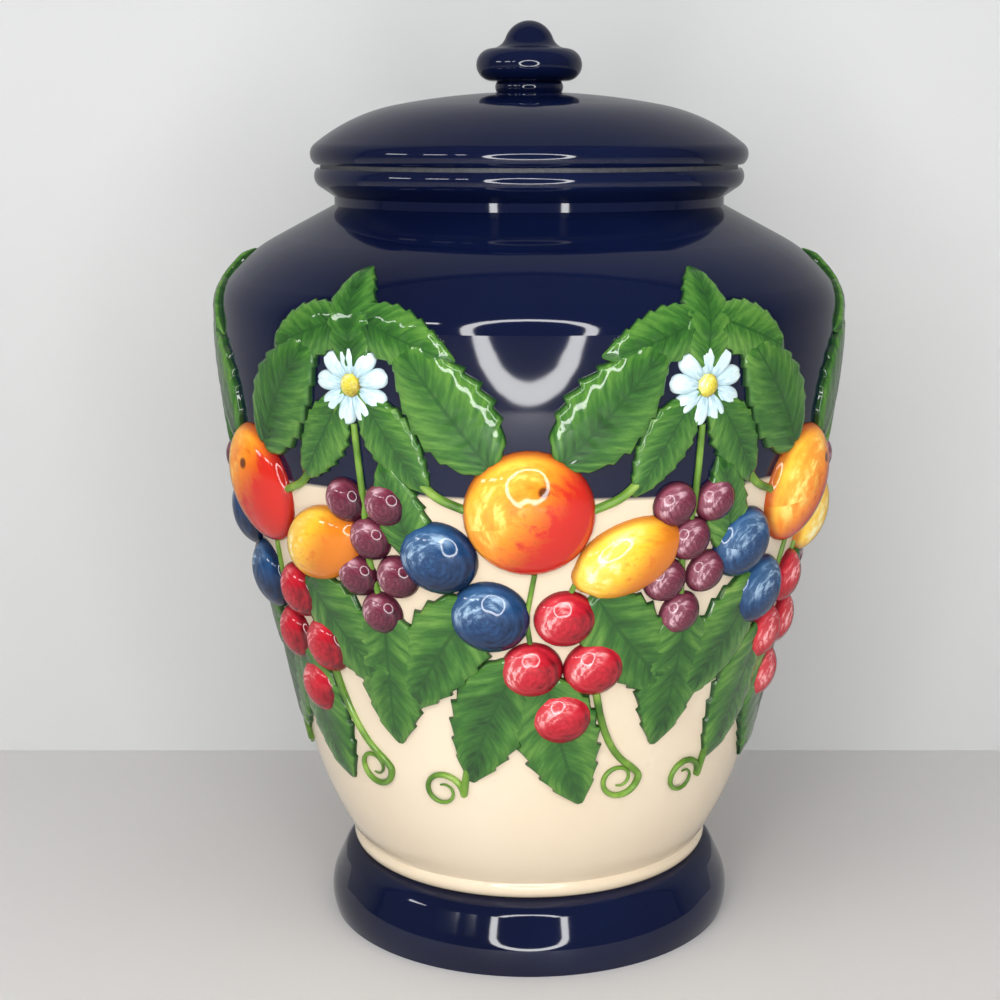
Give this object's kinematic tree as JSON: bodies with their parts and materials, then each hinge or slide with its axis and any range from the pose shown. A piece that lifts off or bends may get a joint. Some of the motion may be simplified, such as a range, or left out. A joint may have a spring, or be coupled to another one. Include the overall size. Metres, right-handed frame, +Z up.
{
  "type": "biscuit jar",
  "caption": "Tall baluster biscuit jar in cobalt and cream glaze with a raised fruit garland, a flared foot and a domed lid with a knob.",
  "frame": {"origin": "centre of the face that the jar stands on, under its foot", "axes": "+Z up along the jar's axis, through the knob; -Y is the front"},
  "size_m": [0.2034, 0.2028, 0.2894],
  "materials": {
    "cobalt_glaze": "gloss",
    "jar_glaze": "gloss",
    "leaf_glaze": "gloss",
    "orange_glaze": "gloss",
    "lemon_glaze": "gloss",
    "plum_glaze": "gloss",
    "cherry_glaze": "gloss",
    "berry_glaze": "gloss",
    "petal_glaze": "gloss",
    "eye_glaze": "gloss",
    "seal_rubber": "matte"
  },
  "bodies": {
    "jar": {"jar_body": "jar_glaze", "foot_ring": "cobalt_glaze", "leaf_sprigs": "leaf_glaze", "orange_sprigs": "orange_glaze", "lemon_sprigs": "lemon_glaze", "plum_sprigs": "plum_glaze", "cherry_sprigs": "cherry_glaze", "berry_sprigs": "berry_glaze", "blossom_sprigs": "petal_glaze", "blossom_eyes": "eye_glaze"},
    "seal": {"lid_seal": "seal_rubber"},
    "lid": {"lid": "cobalt_glaze", "lid_knob": "cobalt_glaze"}
  },
  "joints": [
    {"name": "lid_lift", "type": "slide", "parent": "jar", "child": "seal", "axis": [0, 0, 1], "range_m": [0, 0.15]},
    {"name": "lid_turn", "type": "hinge", "parent": "seal", "child": "lid", "pos_m": [0, 0, 0.2456], "axis": [0, 0, 1], "continuous": true}
  ]
}
